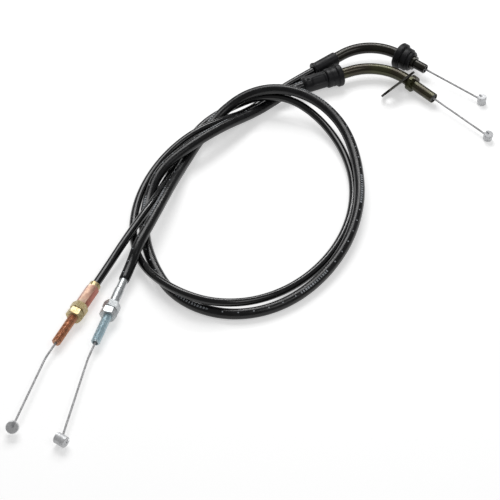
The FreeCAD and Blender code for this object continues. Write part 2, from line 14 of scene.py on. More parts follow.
import bpy
from mathutils import Matrix, Vector
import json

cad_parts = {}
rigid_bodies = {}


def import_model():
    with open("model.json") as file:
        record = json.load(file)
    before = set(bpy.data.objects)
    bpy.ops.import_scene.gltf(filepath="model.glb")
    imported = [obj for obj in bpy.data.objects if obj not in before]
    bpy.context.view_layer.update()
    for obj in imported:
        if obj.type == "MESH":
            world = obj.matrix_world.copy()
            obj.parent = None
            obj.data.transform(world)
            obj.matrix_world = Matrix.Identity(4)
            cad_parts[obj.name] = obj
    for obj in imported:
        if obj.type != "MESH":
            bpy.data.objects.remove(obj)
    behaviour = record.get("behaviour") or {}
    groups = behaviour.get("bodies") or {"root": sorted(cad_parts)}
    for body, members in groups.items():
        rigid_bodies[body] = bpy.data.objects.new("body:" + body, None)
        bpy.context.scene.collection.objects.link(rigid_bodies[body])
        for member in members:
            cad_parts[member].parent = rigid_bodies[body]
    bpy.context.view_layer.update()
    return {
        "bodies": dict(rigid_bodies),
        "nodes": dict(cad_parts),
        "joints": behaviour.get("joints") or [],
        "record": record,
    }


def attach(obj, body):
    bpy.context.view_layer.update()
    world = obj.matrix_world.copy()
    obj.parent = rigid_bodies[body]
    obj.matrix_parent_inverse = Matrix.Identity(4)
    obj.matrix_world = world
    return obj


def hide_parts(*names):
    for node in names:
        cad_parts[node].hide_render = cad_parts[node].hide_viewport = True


LOG = logging.getLogger("throttle_cables")

Point = Tuple[float, float, float]
Colour = Tuple[float, float, float]
Piece = bpy.types.Object
Tree = bpy.types.NodeTree
Node = bpy.types.Node
Socket = bpy.types.NodeSocket
Value = Union[float, Socket]
Band = Tuple[float, float]
Profile = Tuple[Tuple[float, float], ...]

MM = 0.001
ROOT_BODY = "sheaths_and_elbows"
UP = Vector((0.0, 0.0, 1.0))

PULL_ROUTE: Tuple[Point, ...] = (
    (0.0353, 0.1485, 0.0081), (0.0200, 0.1417, 0.0079), (0.0075, 0.1325, 0.0052),
    (-0.0065, 0.1185, 0.0062), (-0.0295, 0.0955, 0.0136), (-0.0525, 0.0740, 0.0144),
    (-0.0730, 0.0535, 0.0102), (-0.0805, 0.0285, 0.0040), (-0.0820, -0.0005, 0.0036),
    (-0.0750, -0.0305, 0.0036), (-0.0625, -0.0565, 0.0036), (-0.0410, -0.0730, 0.0036),
    (-0.0150, -0.0775, 0.0036), (0.0125, -0.0680, 0.0036), (0.0370, -0.0455, 0.0044),
    (0.0560, -0.0130, 0.0064), (0.0655, 0.0250, 0.0082), (0.0645, 0.0640, 0.0096),
    (0.0560, 0.0975, 0.0126), (0.0375, 0.1200, 0.0174), (0.0130, 0.1295, 0.0204),
    (-0.0115, 0.1275, 0.0170), (-0.0315, 0.1150, 0.0082), (-0.0455, 0.0925, 0.0036),
    (-0.0565, 0.0630, 0.0062), (-0.0655, 0.0330, 0.0122), (-0.0750, 0.0030, 0.0144),
    (-0.0844, -0.0215, 0.0132), (-0.0888, -0.0353, 0.0079), (-0.0930, -0.0492, 0.0074),
)
RETURN_ROUTE: Tuple[Point, ...] = (
    (0.0426, 0.1681, 0.0077), (0.0200, 0.1529, 0.0046), (0.0030, 0.1385, 0.0028),
    (-0.0130, 0.1210, 0.0036), (-0.0300, 0.1045, 0.0110), (-0.0510, 0.0890, 0.0128),
    (-0.0710, 0.0685, 0.0080), (-0.0850, 0.0410, 0.0036), (-0.0900, 0.0090, 0.0028),
    (-0.0865, -0.0200, 0.0028), (-0.0755, -0.0455, 0.0088), (-0.0540, -0.0665, 0.0124),
    (-0.0305, -0.0730, 0.0102), (-0.0035, -0.0665, 0.0062), (0.0230, -0.0480, 0.0032),
    (0.0450, -0.0205, 0.0028), (0.0585, 0.0135, 0.0028), (0.0620, 0.0500, 0.0028),
    (0.0550, 0.0835, 0.0038), (0.0395, 0.1100, 0.0082), (0.0195, 0.1255, 0.0132),
    (-0.0025, 0.1300, 0.0122), (-0.0230, 0.1255, 0.0054), (-0.0410, 0.1135, 0.0028),
    (-0.0535, 0.0925, 0.0028), (-0.0625, 0.0655, 0.0030), (-0.0705, 0.0375, 0.0074),
    (-0.0810, 0.0110, 0.0114), (-0.0935, -0.0140, 0.0098), (-0.1041, -0.0356, 0.0065),
    (-0.1140, -0.0575, 0.0061),
)


def srgb(*levels: int) -> Colour:
    """Turn a display colour into the linear colour a shader takes.

    Args:
        *levels: Display red, green and blue, 0 to 255.

    Returns:
        The linear red, green and blue.
    """
    return tuple(share / 12.92 if share <= 0.04045 else ((share + 0.055) / 1.055) ** 2.4
                 for share in (level / 255.0 for level in levels))


# --- node wiring

class Graph:
    """A node tree that is being wired."""

    def __init__(self, tree: Tree) -> None:
        """Keep the tree that the nodes go in."""
        self.tree = tree

    def node(self, kind: str, **settings: object) -> Node:
        """Add a node.

        Args:
            kind: The node's type name, without its ShaderNode prefix.
            **settings: Attributes to set on it.

        Returns:
            The new node.
        """
        made = self.tree.nodes.new("ShaderNode" + kind)
        for name, value in settings.items():
            setattr(made, name, value)
        return made

    def feed(self, socket: Socket, value: object) -> None:
        """Link a socket's source, or set its plain value.

        Args:
            socket: The input socket.
            value: Another node's output, a number or a tuple.
        """
        if isinstance(value, Socket):
            self.tree.links.new(value, socket)
        elif isinstance(value, tuple) and len(value) == 3 and socket.type == "RGBA":
            socket.default_value = (*value, 1.0)
        else:
            socket.default_value = value

    def math(self, operation: str, *operands: Value) -> Socket:
        """Add a Math node and give its result.

        Args:
            operation: The Math node's operation.
            *operands: As many values or sockets as the operation takes.

        Returns:
            The node's output.
        """
        made = self.node("Math", operation=operation)
        for socket, value in zip(made.inputs, operands):
            self.feed(socket, value)
        return made.outputs[0]

    def mix(self, share: Value, low: object, high: object) -> Socket:
        """Mix two colours by a share from 0 to 1.

        Args:
            share: The mix share.
            low: Colour at 0.
            high: Colour at 1.

        Returns:
            The mixed colour's socket.
        """
        made = self.node("Mix", data_type="RGBA")
        self.feed(made.inputs[0], share)
        self.feed(made.inputs[6], low)
        self.feed(made.inputs[7], high)
        return made.outputs[2]

    def ramp(self, share: Socket, stops: Sequence[Tuple[float, Colour]]) -> Socket:
        """Colour a value by its stops.

        Args:
            share: The value.
            stops: Positions and their colours.

        Returns:
            The colour's socket.
        """
        made = self.node("ValToRGB")
        elements = made.color_ramp.elements
        while len(elements) < len(stops):
            elements.new(1.0)
        for element, (place, colour) in zip(elements, stops):
            element.position = place
            element.color = (*colour, 1.0)
        self.feed(made.inputs[0], share)
        return made.outputs[0]

    def spread(self, value: Socket, band: Band) -> Socket:
        """Stretch a band of values to 0 to 1, smoothly and clamped.

        Args:
            value: The value.
            band: The values that turn to 0 and to 1.

        Returns:
            The stretched value.
        """
        made = self.node("MapRange", interpolation_type="SMOOTHSTEP")
        for socket, given in zip(made.inputs, (value, *band)):
            self.feed(socket, given)
        return made.outputs[0]

    def noise(self, scale: Value, detail: float) -> Socket:
        """Add a noise texture in object coordinates and give its value.

        Args:
            scale: Features per metre.
            detail: Octaves.

        Returns:
            The noise value, about 0.3 to 0.7.
        """
        made = self.node("TexNoise")
        self.feed(made.inputs["Vector"], self.node("TexCoord").outputs["Object"])
        self.feed(made.inputs["Scale"], scale)
        self.feed(made.inputs["Detail"], detail)
        return made.outputs[0]


class Effect(Enum):
    """The shared effects, each a node group that is built once."""

    GRAIN = "moulded_grain"
    PATCHES = "passivation_patches"
    WEAR = "edge_wear"
    PRINT = "sheath_print"


@dataclass(frozen=True)
class EffectLibrary:
    """Builds the shared node groups and places them in materials."""

    fine_octaves: float = 4.0
    few_octaves: float = 2.0
    chip_octaves: float = 3.0
    slow_share: float = 0.6
    mottle_band: Band = (0.35, 0.65)
    speck_scale: float = 4200.0
    speck_share: float = 0.35
    patch_band: Band = (0.52, 0.82)
    chip_scale: float = 1500.0
    chip_band: Band = (0.35, 0.6)
    edge_band: Band = (0.51, 0.58)
    hollow_band: Band = (0.5, 0.42)
    dot_pitch: float = 10.0 * MM
    dot_radius: float = 0.5 * MM
    block_pitch: float = 92.0 * MM
    block_length: float = 27.0 * MM
    mark_pitch: float = 2.1 * MM
    mark_length: float = 1.3 * MM
    mark_height: float = 1.5 * MM
    mark_shift: float = 1.7 * MM

    def place(self, graph: Graph, effect: Effect, **values: object) -> Node:
        """Put a group in a material's tree.

        Args:
            graph: The material's graph.
            effect: Which effect.
            **values: Its input values.

        Returns:
            The group node.
        """
        tree = bpy.data.node_groups.get(effect.value) or self._build(effect)
        made = graph.node("Group", node_tree=tree)
        for name, value in values.items():
            graph.feed(made.inputs[name], value)
        return made

    def _build(self, effect: Effect) -> Tree:
        """Build one effect's group.

        Args:
            effect: Which effect.

        Returns:
            The group's tree.
        """
        makers: Dict[Effect, Callable[[Tree], None]] = {
            Effect.GRAIN: self._grain,
            Effect.PATCHES: self._patches,
            Effect.WEAR: self._wear_and_light,
            Effect.PRINT: self._print,
        }
        tree = bpy.data.node_groups.new(effect.value, "ShaderNodeTree")
        makers[effect](tree)
        return tree

    @staticmethod
    def _open(tree: Tree, inputs: Dict[str, str], outputs: Dict[str, str]
              ) -> Tuple[Graph, Sequence[Socket], Sequence[Socket]]:
        """Declare a group's sockets, and give its graph and the inner ends of the sockets.

        Args:
            tree: The group's tree.
            inputs: The kind of each input, by name.
            outputs: The kind of each output, by name.

        Returns:
            The group's graph, the sockets that bring its inputs, and those that take its outputs.
        """
        for side, kinds in (("INPUT", inputs), ("OUTPUT", outputs)):
            for name, kind in kinds.items():
                tree.interface.new_socket(name, in_out=side, socket_type="NodeSocket" + kind)
        return (Graph(tree), tree.nodes.new("NodeGroupInput").outputs,
                tree.nodes.new("NodeGroupOutput").inputs)

    def _grain(self, tree: Tree) -> None:
        """Fine moulded grain and slow mottling, for rubber and extruded plastic.

        Args:
            tree: The group's tree.
        """
        graph, enter, leave = self._open(tree, {"Fine": "Float", "Slow": "Float"},
                                         {"Height": "Float", "Mottle": "Float"})
        fine = graph.noise(enter["Fine"], self.fine_octaves)
        slow = graph.noise(enter["Slow"], self.few_octaves)
        graph.feed(leave["Height"], graph.math("MULTIPLY_ADD", slow, self.slow_share, fine))
        graph.feed(leave["Mottle"], graph.spread(slow, self.mottle_band))

    def _patches(self, tree: Tree) -> None:
        """Uneven colour of a passivated plating, with fine pickling specks.

        Args:
            tree: The group's tree.
        """
        graph, enter, leave = self._open(
            tree, {"Light": "Color", "Dark": "Color", "Scale": "Float"},
            {"Color": "Color", "Mask": "Float"})
        patches = graph.noise(enter["Scale"], self.fine_octaves)
        specks = graph.noise(self.speck_scale, self.few_octaves)
        mask = graph.spread(graph.math("MULTIPLY_ADD", specks, self.speck_share, patches),
                            self.patch_band)
        graph.feed(leave["Mask"], mask)
        graph.feed(leave["Color"], graph.mix(mask, enter["Light"], enter["Dark"]))

    def _wear_and_light(self, tree: Tree) -> None:
        """Rubbed outer edges with a painted highlight, broken up by fine noise, and a mask of the
        hollows for painted shade.

        Args:
            tree: The group's tree.
        """
        graph, enter, leave = self._open(tree, {"Amount": "Float"},
                                         {"Edge": "Float", "HollowShade": "Float"})
        sharp = graph.node("NewGeometry").outputs["Pointiness"]
        chips = graph.noise(self.chip_scale, self.chip_octaves)
        broken = graph.spread(chips, self.chip_band)
        # Convex edges, broken up by noise, take the lighter edge colour: part wear, part painted
        # highlight.
        edge = graph.math("MULTIPLY", graph.spread(sharp, self.edge_band), broken)
        graph.feed(leave["Edge"], graph.math("MULTIPLY", edge, enter["Amount"]))
        # The hollow mask is used to paint shade into the creases.
        graph.feed(leave["HollowShade"], graph.spread(sharp, self.hollow_band))

    def _print(self, tree: Tree) -> None:
        """Plain dots and blocks of dashes in a line along the sheath, from its own UV map.

        Args:
            tree: The group's tree.
        """
        graph, _, leave = self._open(tree, {}, {"Mask": "Float"})
        split = graph.node("SeparateXYZ")
        graph.feed(split.inputs[0], graph.node("UVMap", uv_map=SheathTube.UV_NAME).outputs[0])
        run = split.outputs[0]
        turn = graph.math("ADD", split.outputs[1], self.mark_shift)

        def beside(pitch: float) -> Socket:
            """Distance along the sheath from the nearest multiple of a pitch."""
            return graph.math("ABSOLUTE", graph.math("WRAP", run, pitch / 2.0, -pitch / 2.0))

        dot_reach = graph.math("SQRT", graph.math(
            "ADD", graph.math("POWER", beside(self.dot_pitch), 2.0),
            graph.math("POWER", turn, 2.0)))
        dot = graph.math("LESS_THAN", dot_reach, self.dot_radius)
        block = graph.math("LESS_THAN", beside(self.block_pitch), self.block_length / 2.0)
        wobble = graph.node("TexWhiteNoise", noise_dimensions="1D")
        graph.feed(wobble.inputs["W"], graph.math("FLOOR", graph.math(
            "DIVIDE", graph.math("ADD", run, self.mark_pitch / 2.0), self.mark_pitch)))
        length = graph.math("MULTIPLY_ADD", wobble.outputs[0], self.mark_length / 4.0,
                            self.mark_length / 3.0)
        dash = graph.math("LESS_THAN", beside(self.mark_pitch), length)
        tall = graph.math("LESS_THAN", graph.math("ABSOLUTE", turn), self.mark_height / 2.0)
        dash = graph.math("MULTIPLY", graph.math("MULTIPLY", dash, tall), block)
        clear = graph.math("MULTIPLY", dot, graph.math("SUBTRACT", 1.0, block))
        graph.feed(leave["Mask"], graph.math("MAXIMUM", dash, clear))


EFFECTS = EffectLibrary()


# --- finishes

@dataclass(frozen=True)
class Finish:
    """What every finish shares: a name and a roughness."""

    name: str
    roughness: float

    def material(self) -> bpy.types.Material:
        """Give the finish's material, built on first use.

        Returns:
            The material.
        """
        found = bpy.data.materials.get(self.name)
        if found:
            return found
        made = bpy.data.materials.new(self.name)
        made.use_nodes = True
        graph = Graph(made.node_tree)
        shader = made.node_tree.nodes["Principled BSDF"]
        shader.inputs["Roughness"].default_value = self.roughness
        self.dress(graph, shader)
        return made

    def dress(self, graph: Graph, shader: Node) -> None:
        """Wire the finish's own nodes into the shader."""
        raise NotImplementedError

    @staticmethod
    def relief(graph: Graph, shader: Node, height: Socket, distance: float) -> None:
        """Give the shader a bumped normal.

        Args:
            graph: The material's graph.
            shader: Its Principled shader.
            height: The height value.
            distance: Depth in metres of a height of one.
        """
        bump = graph.node("Bump")
        bump.inputs["Strength"].default_value = 1.0
        bump.inputs["Distance"].default_value = distance
        graph.feed(bump.inputs["Height"], height)
        graph.feed(shader.inputs["Normal"], bump.outputs[0])


@dataclass(frozen=True)
class MouldedFinish(Finish):
    """Black rubber or plastic with a fine grain and a dusty, worn bloom."""

    base: Colour
    bloom: Colour
    bloom_share: float = 0.5
    grain: float = 2600.0
    depth: float = 0.03 * MM
    slow: float = 140.0
    mottle: float = 0.12
    sheen: float = 0.0
    coat: float = 0.0
    coat_roughness: float = 0.12
    specular: float = 0.5
    ink: Optional[Colour] = None
    ink_wear: float = 0.25
    ink_roughness: float = 0.15

    def dress(self, graph: Graph, shader: Node) -> None:
        """Mottle the colour and roughness, and print marks where the finish has them.

        Args:
            graph: The material's graph.
            shader: Its Principled shader.
        """
        grain = EFFECTS.place(graph, Effect.GRAIN, Fine=self.grain, Slow=self.slow)
        mottle = grain.outputs["Mottle"]
        colour = graph.mix(graph.math("MULTIPLY", mottle, self.bloom_share), self.base, self.bloom)
        rough = graph.math("MULTIPLY_ADD", mottle, self.mottle, self.roughness - self.mottle / 2.0)
        if self.ink:
            mask = EFFECTS.place(graph, Effect.PRINT).outputs["Mask"]
            kept = graph.math("MULTIPLY_ADD", mottle, -self.ink_wear, 1.0)
            colour = graph.mix(graph.math("MULTIPLY", mask, kept), colour, self.ink)
            rough = graph.math("MULTIPLY_ADD", mask, self.ink_roughness, rough)
        for name, value in (
                ("Base Color", colour), ("Roughness", rough), ("Sheen Weight", self.sheen),
                ("Coat Weight", self.coat), ("Coat Roughness", self.coat_roughness),
                ("Specular IOR Level", self.specular)):
            graph.feed(shader.inputs[name], value)
        self.relief(graph, shader, grain.outputs["Height"], self.depth)


@dataclass(frozen=True)
class PlatedFinish(Finish):
    """Zinc or nickel plating: uneven passivation, rubbed edges with a painted highlight, and painted
    shade in the hollows.
    """

    light: Colour
    dark: Colour
    # Edge colour: lighter, part rubbed wear and part painted highlight.
    edge_wear_and_highlight: Colour
    metallic: float = 1.0
    patch: float = 380.0
    wear_and_light: float = 0.8
    hollow_shade: float = 0.5
    depth: float = 0.02 * MM
    mottle: float = 0.12
    # The hollow share and this dimmed tone of the dark colour paint shade into the hollows.
    hollow_shade_tone: float = 0.35
    # Painted shading: colour stops set by how each face turns toward a fixed side, for the hex
    # facets.
    facet_shading_stops: Tuple[Tuple[float, Colour], ...] = ()
    shading_side: Point = (1.0, 0.0, 0.0)
    facet_patches: float = 0.3

    def dress(self, graph: Graph, shader: Node) -> None:
        """Lay the passivation, then the rubbed edges with their painted highlight, and the painted
        shade in the hollows.

        Args:
            graph: The material's graph.
            shader: Its Principled shader.
        """
        patches = EFFECTS.place(graph, Effect.PATCHES, Light=self.light, Dark=self.dark,
                                Scale=self.patch)
        wear_and_light = EFFECTS.place(graph, Effect.WEAR, Amount=self.wear_and_light)
        colour = patches.outputs["Color"]
        # Painted light and shade by facet: each face is coloured by how it turns toward a fixed
        # side.
        if self.facet_shading_stops:
            turn = graph.node("VectorMath", operation="DOT_PRODUCT")
            graph.feed(turn.inputs[0], graph.node("TexCoord").outputs["Normal"])
            turn.inputs[1].default_value = Vector(self.shading_side).normalized()
            share = graph.math("MULTIPLY_ADD", turn.outputs["Value"], 0.5, 0.5)
            cover = graph.math("MULTIPLY", patches.outputs["Mask"], self.facet_patches)
            colour = graph.mix(cover, graph.ramp(share, self.facet_shading_stops), colour)
        # Rubbed edges lightened, part wear and part painted highlight.
        colour = graph.mix(wear_and_light.outputs["Edge"], colour, self.edge_wear_and_highlight)
        # Painted shade: the hollows darken toward a dimmed dark colour.
        shade = graph.math("MULTIPLY", wear_and_light.outputs["HollowShade"], self.hollow_shade)
        dim = tuple(level * self.hollow_shade_tone for level in self.dark)
        graph.feed(shader.inputs["Base Color"], graph.mix(shade, colour, dim))
        shader.inputs["Metallic"].default_value = self.metallic
        rough = graph.math("MULTIPLY_ADD", patches.outputs["Mask"], self.mottle,
                           self.roughness - self.mottle / 2.0)
        graph.feed(shader.inputs["Roughness"], rough)
        if self.depth:
            self.relief(graph, shader, patches.outputs["Mask"], self.depth)


SATIN_SHEATH = MouldedFinish("sheath_satin_printed", 0.27, srgb(12, 12, 14), srgb(21, 21, 24),
                             ink=srgb(160, 165, 170), grain=3000.0,
                             depth=0.0012 * MM, specular=0.4)
GLOSS_SHEATH = MouldedFinish("sheath_gloss", 0.16, srgb(10, 10, 12), srgb(18, 18, 21),
                             grain=1200.0, depth=0.0004 * MM, coat=0.25, specular=0.4)
RUBBER = MouldedFinish("rubber_moulded", 0.46, srgb(13, 13, 16), srgb(24, 24, 28),
                       depth=0.02 * MM, sheen=0.02, specular=0.3)
GUIDE = MouldedFinish("guide_nylon", 0.45, srgb(20, 20, 22), srgb(38, 38, 40))
# Each plated finish's third colour lights its edges and thread crests: part wear, part painted
# highlight.
STRAND = PlatedFinish("strand_drawn_steel", 0.5, srgb(212, 212, 214), srgb(182, 181, 181),
                      srgb(222, 222, 224), metallic=0.2, wear_and_light=0.3, hollow_shade=0.5, depth=0.0)
NICKEL = PlatedFinish("nipple_cast_nickel", 0.4, srgb(226, 227, 229), srgb(198, 199, 202),
                      srgb(234, 235, 236), metallic=0.2, hollow_shade=0.7, depth=0.012 * MM)
BLUE_ZINC = PlatedFinish("zinc_blue_thread", 0.32, srgb(212, 231, 238), srgb(184, 209, 218),
                         srgb(234, 243, 246), metallic=0.4, wear_and_light=0.7, hollow_shade=0.4,
                         depth=0.003 * MM)
SILVER_ZINC = PlatedFinish("zinc_silver_plated", 0.34, srgb(194, 198, 200), srgb(166, 170, 173),
                           srgb(218, 221, 222), metallic=0.6, depth=0.006 * MM)
COPPER_ZINC = PlatedFinish("zinc_copper_thread", 0.34, srgb(212, 150, 114), srgb(170, 114, 84),
                           srgb(240, 192, 156), metallic=0.5, wear_and_light=0.7, hollow_shade=0.6,
                           depth=0.003 * MM)
YELLOW_ZINC = PlatedFinish("zinc_yellow_plated", 0.32, srgb(194, 174, 120), srgb(162, 136, 88),
                           srgb(226, 212, 168), metallic=0.55, depth=0.006 * MM)
# The hex body's facet stops paint light and shade onto its facets by the way each one faces.
HEX_ZINC = PlatedFinish(
    "zinc_hex_body", 0.34, srgb(208, 164, 134), srgb(180, 120, 100), srgb(232, 206, 178),
    metallic=0.45, depth=0.006 * MM,
    facet_shading_stops=((0.0, srgb(186, 118, 96)), (0.3, srgb(206, 152, 130)), (0.55, srgb(206, 180, 158)),
            (0.8, srgb(206, 140, 120)), (1.0, srgb(196, 112, 98))),
    shading_side=(0.91, -0.41, 0.0))
OLIVE_ZINC = PlatedFinish("zinc_olive_tube", 0.2, srgb(70, 71, 45), srgb(54, 47, 35),
                          srgb(104, 100, 76), metallic=0.45, wear_and_light=0.1, patch=60.0, depth=0.0,
                          mottle=0.04)
DARK_ZINC = PlatedFinish("zinc_dark_tube", 0.2, srgb(40, 39, 31), srgb(31, 27, 24),
                         srgb(80, 75, 64), metallic=0.4, wear_and_light=0.1, patch=60.0, depth=0.0,
                         mottle=0.04)


# --- edit-mode modelling

@contextmanager
def editing() -> Iterator[None]:
    """Work on the active piece in edit mode, with everything selected at first.

    Returns:
        The context of the edit.
    """
    bpy.ops.object.mode_set(mode="EDIT")
    bpy.ops.mesh.select_all(action="SELECT")
    yield
    bpy.ops.object.mode_set(mode="OBJECT")


class Workpiece:
    """A new piece that is drawn, spun and finished about its own +Z axis."""

    DOUBLES = 1e-6

    def __init__(self, piece: Piece) -> None:
        """Keep the piece that is worked on."""
        self.piece = piece

    @classmethod
    def start(cls, name: str) -> "Workpiece":
        """Start from a plane drawn together to one vertex at the origin.

        Args:
            name: The piece's name.

        Returns:
            The new workpiece.
        """
        bpy.ops.object.select_all(action="DESELECT")
        bpy.ops.mesh.primitive_plane_add(size=MM)
        work = cls(bpy.context.object)
        work.piece.name = work.piece.data.name = name
        with editing():
            bpy.ops.mesh.merge(type="CENTER")
        return work

    def _pick(self) -> None:
        """Select the piece alone."""
        bpy.ops.object.select_all(action="DESELECT")
        self.piece.select_set(True)
        bpy.context.view_layer.objects.active = self.piece

    def draw(self, corners: Sequence[Tuple[float, float]]) -> None:
        """Draw a profile by extruding the vertex from corner to corner.

        Args:
            corners: Radius and height of each corner, in millimetres.
        """
        radius, height = corners[0]
        with editing():
            bpy.ops.transform.translate(value=(radius * MM, 0.0, height * MM))
            for after in corners[1:]:
                step = ((after[0] - radius) * MM, 0.0, (after[1] - height) * MM)
                bpy.ops.mesh.extrude_vertices_move(TRANSFORM_OT_translate={"value": step})
                radius, height = after

    def spin(self, steps: int) -> None:
        """Spin the profile right round and weld it.

        Args:
            steps: Facets round the piece.
        """
        with editing():
            bpy.ops.mesh.spin(steps=steps, angle=math.tau, center=(0, 0, 0), axis=(0, 0, 1))
        self.weld()

    def weld(self) -> None:
        """Merge doubled vertices and point the faces outwards."""
        with editing():
            bpy.ops.mesh.remove_doubles(threshold=self.DOUBLES)
            bpy.ops.mesh.normals_make_consistent(inside=False)

    def modify(self, kind: str, **settings: object) -> None:
        """Add a modifier and apply it.

        Args:
            kind: The modifier's type.
            **settings: Attributes to set on it.
        """
        modifier = self.piece.modifiers.new(kind.lower(), kind)
        for name, value in settings.items():
            setattr(modifier, name, value)
        bpy.context.view_layer.objects.active = self.piece
        bpy.ops.object.modifier_apply(modifier=modifier.name)

    def soften(self, width: float, segments: int = 3, angle: float = 25.0) -> None:
        """Round the sharp edges.

        Args:
            width: Width of the rounding in millimetres.
            segments: Facets across it.
            angle: Smallest edge angle, in degrees, that is rounded.
        """
        self.modify("BEVEL", width=width * MM, segments=segments, limit_method="ANGLE",
                    angle_limit=math.radians(angle), use_clamp_overlap=True)
        self.weld()

    def press(self, height: Callable[[float, float], float]) -> None:
        """Move each vertex outwards by a height that depends on its place.

        Args:
            height: Gives millimetres from a vertex's turn in degrees and height in millimetres.
        """
        for vertex in self.piece.data.vertices:
            turn = math.degrees(math.atan2(vertex.co.y, vertex.co.x))
            radius = math.hypot(vertex.co.x, vertex.co.y)
            grown = radius + height(turn, vertex.co.z / MM) * MM
            vertex.co.x *= grown / radius
            vertex.co.y *= grown / radius

    def place(self, station: "Station", roll: float = 0.0) -> None:
        """Move the piece into its fitting's frame, and leave its object at the origin.

        Args:
            station: Where the piece's own origin and +Z go.
            roll: Turn about +Z in degrees, from the place where +Y leans up.
        """
        origin, heading = station.origin, station.heading
        side = UP.cross(heading).normalized()
        frame = Matrix((side, heading.cross(side), heading)).transposed().to_4x4()
        turn = Matrix.Rotation(math.radians(roll), 4, "Z")
        self._pick()
        self.piece.matrix_world = Matrix.Translation(origin) @ frame @ turn
        bpy.ops.object.transform_apply(location=True, rotation=True, scale=True)

    def dress(self, finish: Finish, slot: str, body: str, nodes: Sequence[str] = (),
              smooth: float = 35.0) -> None:
        """Shade the piece and tie it to the frame.

        Args:
            finish: Its finish.
            slot: The record's material slot; not used.
            body: The body it rides on.
            nodes: The nodes it stands for.
            smooth: Edges flatter than this many degrees are shaded smooth.
        """
        self.piece.data.materials.clear()
        self.piece.data.materials.append(finish.material())
        self._pick()
        bpy.ops.object.shade_smooth_by_angle(angle=math.radians(smooth))
        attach(self.piece, body)
        if nodes:
            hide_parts(*nodes)
        LOG.info("%s: %d faces", self.piece.name, len(self.piece.data.polygons))


# --- sheaths and wires

def spline_points(points: Sequence[Sequence[float]], resolution: int) -> List[Vector]:
    """Read the smooth line that a route's NURBS spline draws.

    Args:
        points: The route's control points.
        resolution: Points read for each control point.

    Returns:
        The points along the spline.
    """
    data = bpy.data.curves.new("route_line", "CURVE")
    data.dimensions = "3D"
    data.resolution_u = resolution
    spline = data.splines.new("NURBS")
    spline.points.add(len(points) - 1)
    for knot, point in zip(spline.points, points):
        knot.co = (*point, 1.0)
    spline.order_u = 3
    spline.use_endpoint_u = True
    curve = bpy.data.objects.new("route_line", data)
    mesh = bpy.data.meshes.new_from_object(curve)
    found = [vertex.co.copy() for vertex in mesh.vertices]
    bpy.data.meshes.remove(mesh)
    bpy.data.objects.remove(curve)
    bpy.data.curves.remove(data)
    return found


@dataclass
class Line:
    """A smooth line with its lengths and twist-free frames."""

    points: List[Vector]

    def __post_init__(self) -> None:
        """Work out the headings, the sides and the distances."""
        last = len(self.points) - 1
        self.headings = [
            (self.points[min(k + 1, last)] - self.points[max(k - 1, 0)]).normalized()
            for k in range(last + 1)
        ]
        self.tops = [(UP - heading * UP.dot(heading)).normalized() for heading in self.headings]
        self.runs = [0.0]
        for before, after in zip(self.points, self.points[1:]):
            self.runs.append(self.runs[-1] + (after - before).length)

    @property
    def length(self) -> float:
        """The line's length in metres."""
        return self.runs[-1]

    def offset(self, index: int, radius: float, turn: float) -> Vector:
        """Give a point beside the line.

        Args:
            index: Which point of the line.
            radius: Distance from it.
            turn: Angle from the top, in radians.

        Returns:
            The point.
        """
        side = self.headings[index].cross(self.tops[index])
        return self.points[index] + (
            self.tops[index] * math.cos(turn) + side * math.sin(turn)) * radius


def lofted(name: str, rings: Sequence[Sequence[Vector]]) -> Piece:
    """Make a closed tube through rings of points.

    Args:
        name: The piece's name.
        rings: Rings of equal count, each wound the same way.

    Returns:
        The new piece.
    """
    count = len(rings[0])
    vertices = [point for ring in rings for point in ring]
    faces: List[Tuple[int, ...]] = [tuple(range(count))]
    for ring in range(len(rings) - 1):
        low, high = ring * count, (ring + 1) * count
        for k in range(count):
            after = (k + 1) % count
            faces.append((low + after, low + k, high + k, high + after))
    last = (len(rings) - 1) * count
    faces.append(tuple(last + k for k in reversed(range(count))))
    mesh = bpy.data.meshes.new(name)
    mesh.from_pydata(vertices, [], faces)
    piece = bpy.data.objects.new(name, mesh)
    bpy.context.collection.objects.link(piece)
    bpy.context.view_layer.objects.active = piece
    return piece


@dataclass
class SheathTube:
    """The sheath of one cable, with print marks laid out on its own UV map."""

    UV_NAME = "sheath_run"

    name: str
    route: Tuple[Point, ...]
    radius: float
    length: float
    finish: Finish
    slot: str
    nodes: Tuple[str, ...]
    sides: int = 24
    resolution: int = 26
    end_round: float = 0.3 * MM

    def build(self) -> None:
        line = Line(spline_points(self.route, self.resolution))
        rings = []
        last = len(line.points) - 1
        for index in range(last + 1):
            radius = self.radius - (self.end_round if index in (0, last) else 0.0)
            rings.append([line.offset(index, radius, -math.tau * k / self.sides)
                          for k in range(self.sides)])
        piece = lofted(self.name, rings)
        self._map(piece, line)
        Workpiece(piece).dress(self.finish, self.slot, ROOT_BODY, self.nodes, smooth=50.0)
        LOG.info("%s: spline %.4f m", self.name, line.length)

    def _map(self, piece: Piece, line: Line) -> None:
        """Give the tube a UV map in metres: along it, and round it from its top.

        Args:
            piece: The tube.
            line: The line it was lofted along.
        """
        layer = piece.data.uv_layers.new(name=self.UV_NAME)
        girth = math.tau * self.radius
        half = self.sides // 2
        for face in piece.data.polygons:
            cap = len(face.vertices) == self.sides
            strip = (face.index - 1) % self.sides
            for loop in face.loop_indices:
                ring, turn = divmod(piece.data.loops[loop].vertex_index, self.sides)
                if turn < strip and not cap:
                    turn = self.sides
                past_half = turn > half if cap else strip >= half
                layer.data[loop].uv = (line.runs[ring], (turn / self.sides - past_half) * girth)


